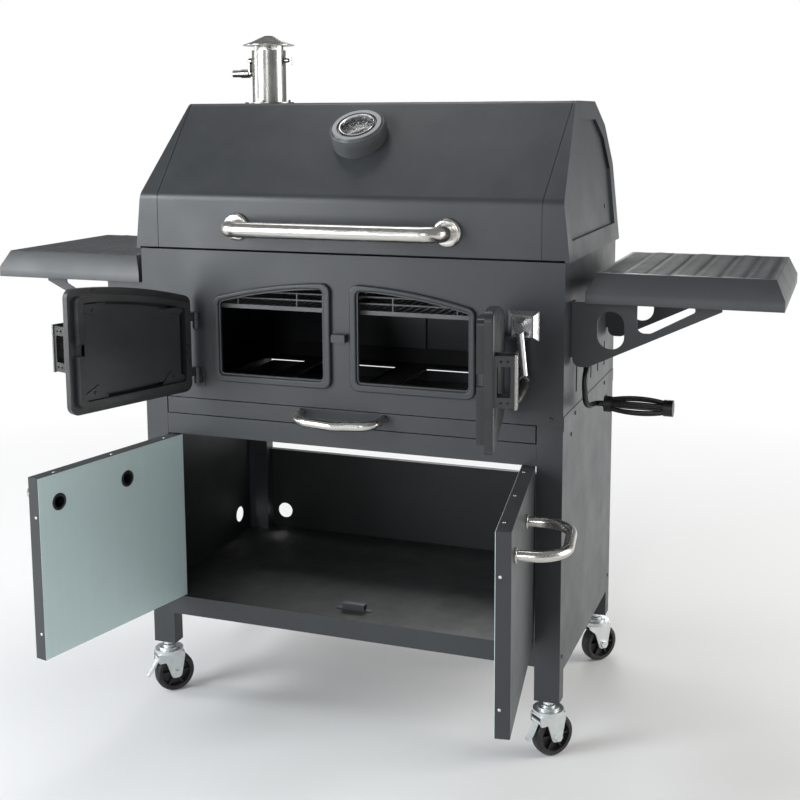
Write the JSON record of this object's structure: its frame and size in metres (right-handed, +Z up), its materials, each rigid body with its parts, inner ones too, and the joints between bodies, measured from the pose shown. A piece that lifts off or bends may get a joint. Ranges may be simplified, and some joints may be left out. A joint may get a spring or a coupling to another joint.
{
  "type": "charcoal grill cart",
  "caption": "Charcoal grill on a caster cart: hinged lid with chimney and thermometer, arched fire doors, liftable coal tray, ash drawer, cabinet and side shelves.",
  "frame": {"origin": "on the floor under the middle of the whole object as it stands with its doors open", "axes": "+X to the right of someone facing its front, +Y from front to back, +Z up"},
  "size_m": [1.49, 0.8062, 1.266],
  "materials": {
    "powder_coat": "satin charcoal powder coat with fine orange peel",
    "cast_black": "satin black painted casting",
    "baffle_steel": "black painted sheet",
    "inner_enamel": "black heat-resistant enamel",
    "grate_enamel": "black enamelled bars",
    "stainless": "brushed stainless steel",
    "chrome": "satin chrome",
    "zinc": "bright zinc plate",
    "galvanised": "smooth galvanised sheet",
    "wheel_rubber": "black hard rubber",
    "grip_plastic": "black phenolic",
    "thermometer_black": "satin black",
    "dial_face": "dark dial with pale marks",
    "needle_red": "pale painted needle",
    "dial_glass": "clear dial glass"
  },
  "bodies": {
    "cart": {"legs": "powder_coat", "side_panel_left": "powder_coat", "side_panel_right": "powder_coat", "rear_panel": "powder_coat", "bottom_shelf": "powder_coat", "cross_rails": "powder_coat", "firebox_front": "powder_coat", "firebox_side_left": "powder_coat", "firebox_side_right": "powder_coat", "firebox_rear": "powder_coat", "firebox_floor": "inner_enamel", "inner_ledges": "inner_enamel", "cooking_grates": "grate_enamel", "door_hardware": "powder_coat", "cart_screws": "powder_coat", "crank_bezel": "chrome", "side_shelf_left": "powder_coat", "side_shelf_right": "powder_coat", "shelf_brackets": "powder_coat", "caster_stems": "zinc"},
    "lid": {"lid_shell": "powder_coat", "lid_end_left": "powder_coat", "lid_end_right": "powder_coat", "lid_handle": "stainless", "thermometer_housing": "thermometer_black", "thermometer_dial": "dial_face", "thermometer_glass": "dial_glass", "chimney_tube": "stainless", "chimney_cap": "stainless"},
    "needle": {"thermometer_needle": "needle_red"},
    "damper": {"damper": "stainless"},
    "crank": {"crank": "chrome"},
    "charcoal_tray": {"charcoal_tray": "inner_enamel"},
    "vent_lever": {"vent_lever": "grip_plastic", "vent_lever_grip": "grip_plastic"},
    "vent_shutter": {"vent_shutter": "inner_enamel"},
    "ash_drawer": {"ash_drawer": "powder_coat", "ash_drawer_handle": "stainless"},
    "fire_door_left": {"fire_door_left": "cast_black", "fire_door_baffle_left": "baffle_steel", "fire_door_grip_left": "stainless"},
    "cabinet_door_left": {"cabinet_door_left": "powder_coat", "cabinet_door_liner_left": "galvanised", "cabinet_door_handle_left": "stainless"},
    "fire_door_right": {"fire_door_right": "cast_black", "fire_door_baffle_right": "baffle_steel", "fire_door_grip_right": "stainless"},
    "cabinet_door_right": {"cabinet_door_right": "powder_coat", "cabinet_door_liner_right": "galvanised", "cabinet_door_handle_right": "stainless"},
    "caster_front_left": {"caster_fork_front_left": "zinc"},
    "wheel_front_left": {"caster_wheel_front_left": "wheel_rubber"},
    "pedal_front_left": {"brake_pedal_front_left": "zinc"},
    "caster_front_right": {"caster_fork_front_right": "zinc"},
    "wheel_front_right": {"caster_wheel_front_right": "wheel_rubber"},
    "pedal_front_right": {"brake_pedal_front_right": "zinc"},
    "caster_rear_left": {"caster_fork_rear_left": "zinc"},
    "wheel_rear_left": {"caster_wheel_rear_left": "wheel_rubber"},
    "caster_rear_right": {"caster_fork_rear_right": "zinc"},
    "wheel_rear_right": {"caster_wheel_rear_right": "wheel_rubber"}
  },
  "joints": [
    {"name": "lid_hinge", "type": "hinge", "parent": "cart", "child": "lid", "pos_m": [0, 0.38475, 0.874], "axis": [-1, 0, 0], "range_deg": [0, 85]},
    {"name": "needle_turn", "type": "hinge", "parent": "lid", "child": "needle", "pos_m": [0, 0.0337, 1.07309], "axis": [0, 0.5718, -0.8204], "range_deg": [0, 256], "stiffness_Nm_per_rad": 0.004},
    {"name": "damper_turn", "type": "hinge", "parent": "lid", "child": "damper", "pos_m": [-0.255, 0.19175, 1.218], "axis": [-1, 0, 0], "range_deg": [0, 90]},
    {"name": "fire_door_left_hinge", "type": "hinge", "parent": "cart", "child": "fire_door_left", "pos_m": [-0.281, -0.07925, 0.64], "axis": [0, 0, 1], "range_deg": [0, 109.5]},
    {"name": "fire_door_right_hinge", "type": "hinge", "parent": "cart", "child": "fire_door_right", "pos_m": [0.281, -0.07925, 0.64], "axis": [0, 0, -1], "range_deg": [0, 102]},
    {"name": "cabinet_door_left_hinge", "type": "hinge", "parent": "cart", "child": "cabinet_door_left", "pos_m": [-0.347, -0.05925, 0.203], "axis": [0, 0, 1], "range_deg": [-8, 102.5]},
    {"name": "cabinet_door_right_hinge", "type": "hinge", "parent": "cart", "child": "cabinet_door_right", "pos_m": [0.347, -0.05925, 0.203], "axis": [0, 0, -1], "range_deg": [-8, 98.5]},
    {"name": "ash_drawer_slide", "type": "slide", "parent": "cart", "child": "ash_drawer", "axis": [0, -1, 0], "range_m": [0, 0.28]},
    {"name": "charcoal_lift", "type": "slide", "parent": "cart", "child": "charcoal_tray", "axis": [0, 0, 1], "range_m": [0, 0.08]},
    {"name": "crank_turn", "type": "hinge", "parent": "cart", "child": "crank", "pos_m": [0.331, -0.06425, 0.763], "axis": [0, -1, 0], "range_deg": [0, 180]},
    {"name": "vent_lever_turn", "type": "hinge", "parent": "cart", "child": "vent_lever", "pos_m": [0.4, 0.08675, 0.7], "axis": [1, 0, 0], "range_deg": [0, 50]},
    {"name": "vent_shutter_slide", "type": "slide", "parent": "cart", "child": "vent_shutter", "axis": [0, 1, 0], "range_m": [0, 0.026]},
    {"name": "swivel_front_left", "type": "hinge", "parent": "cart", "child": "caster_front_left", "pos_m": [-0.3775, -0.04925, 0.084], "axis": [0, 0, 1], "continuous": true},
    {"name": "spin_front_left", "type": "hinge", "parent": "caster_front_left", "child": "wheel_front_left", "pos_m": [-0.3716, -0.04246, 0.0381], "axis": [-0.7547, 0.6561, 0], "continuous": true},
    {"name": "pedal_front_left_turn", "type": "hinge", "parent": "caster_front_left", "child": "pedal_front_left", "pos_m": [-0.39193, -0.06585, 0.068], "axis": [-0.7547, 0.6561, 0], "range_deg": [0, 18]},
    {"name": "swivel_front_right", "type": "hinge", "parent": "cart", "child": "caster_front_right", "pos_m": [0.3775, -0.04925, 0.084], "axis": [0, 0, 1], "continuous": true},
    {"name": "spin_front_right", "type": "hinge", "parent": "caster_front_right", "child": "wheel_front_right", "pos_m": [0.3834, -0.04246, 0.0381], "axis": [-0.7547, 0.6561, 0], "continuous": true},
    {"name": "pedal_front_right_turn", "type": "hinge", "parent": "caster_front_right", "child": "pedal_front_right", "pos_m": [0.36307, -0.06585, 0.068], "axis": [-0.7547, 0.6561, 0], "range_deg": [0, 18]},
    {"name": "swivel_rear_left", "type": "hinge", "parent": "cart", "child": "caster_rear_left", "pos_m": [-0.3775, 0.36275, 0.084], "axis": [0, 0, 1], "continuous": true},
    {"name": "spin_rear_left", "type": "hinge", "parent": "caster_rear_left", "child": "wheel_rear_left", "pos_m": [-0.3716, 0.36954, 0.0381], "axis": [-0.7547, 0.6561, 0], "continuous": true},
    {"name": "swivel_rear_right", "type": "hinge", "parent": "cart", "child": "caster_rear_right", "pos_m": [0.3775, 0.36275, 0.084], "axis": [0, 0, 1], "continuous": true},
    {"name": "spin_rear_right", "type": "hinge", "parent": "caster_rear_right", "child": "wheel_rear_right", "pos_m": [0.3834, 0.36954, 0.0381], "axis": [-0.7547, 0.6561, 0], "continuous": true}
  ],
  "couplings": [
    {"joint": "crank_turn", "follows": "charcoal_lift", "rad_per_m": 39.27},
    {"joint": "vent_shutter_slide", "follows": "vent_lever_turn", "m_per_rad": 0.02979}
  ]
}
